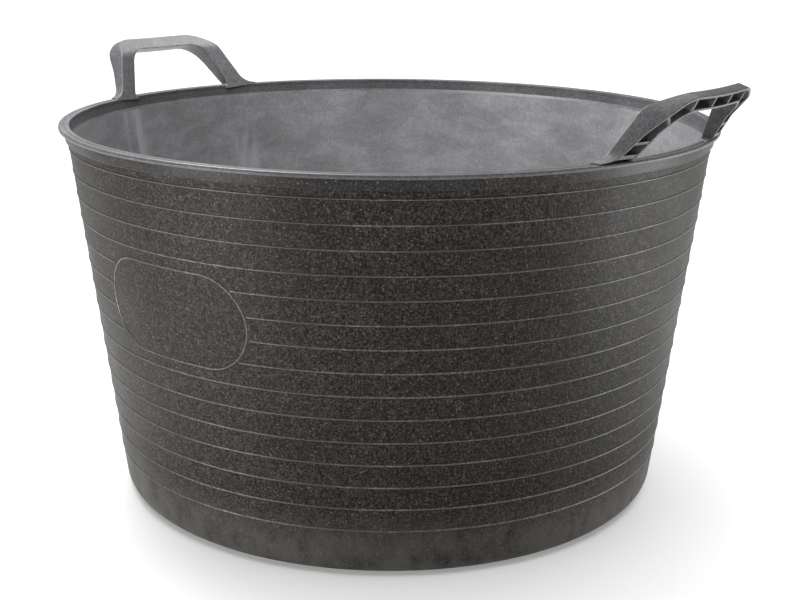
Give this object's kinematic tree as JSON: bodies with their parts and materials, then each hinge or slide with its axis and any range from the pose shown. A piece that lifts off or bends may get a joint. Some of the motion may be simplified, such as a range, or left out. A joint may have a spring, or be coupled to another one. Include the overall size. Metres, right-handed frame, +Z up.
{
  "type": "mortar mixing tub",
  "caption": "Flexible round tapered mixing tub with a rolled lip, raised level lines, a blank label panel and two D-shaped bending handles on the rim.",
  "frame": {"origin": "centre of the foot, on the ground", "axes": "+Z up along the tub's axis; the handles stand on +X and -X; the blank label panel faces -Y"},
  "size_m": [0.628, 0.56, 0.3683],
  "materials": {
    "tub_plastic": "satin, recycled charcoal plastic with fine light specks",
    "raised_lines": "satin, edges rubbed lighter",
    "handle_plastic": "satin, smooth moulded grip"
  },
  "bodies": {
    "tub": {"floor_plate": "tub_plastic", "foot_ring": "tub_plastic", "heel_bend": "tub_plastic", "side_wall": "tub_plastic", "wall_rings": "raised_lines", "panel_border": "raised_lines", "rim_neck": "tub_plastic", "rim_lip": "tub_plastic"},
    "left_handle": {"left_grip_skin": "handle_plastic", "left_outer_flange": "handle_plastic", "left_inner_flange": "handle_plastic", "left_cross_ribs": "handle_plastic", "left_root_knuckles": "handle_plastic"},
    "right_handle": {"right_grip_skin": "handle_plastic", "right_outer_flange": "handle_plastic", "right_inner_flange": "handle_plastic", "right_cross_ribs": "handle_plastic", "right_root_knuckles": "handle_plastic"}
  },
  "joints": [
    {"name": "left_handle_flex", "type": "hinge", "parent": "tub", "child": "left_handle", "pos_m": [-0.267, 0, 0.3215], "axis": [0, 1, 0], "range_deg": [-15, 50], "stiffness_Nm_per_rad": 2},
    {"name": "right_handle_flex", "type": "hinge", "parent": "tub", "child": "right_handle", "pos_m": [0.267, 0, 0.3215], "axis": [0, -1, 0], "range_deg": [-15, 50], "stiffness_Nm_per_rad": 2}
  ]
}
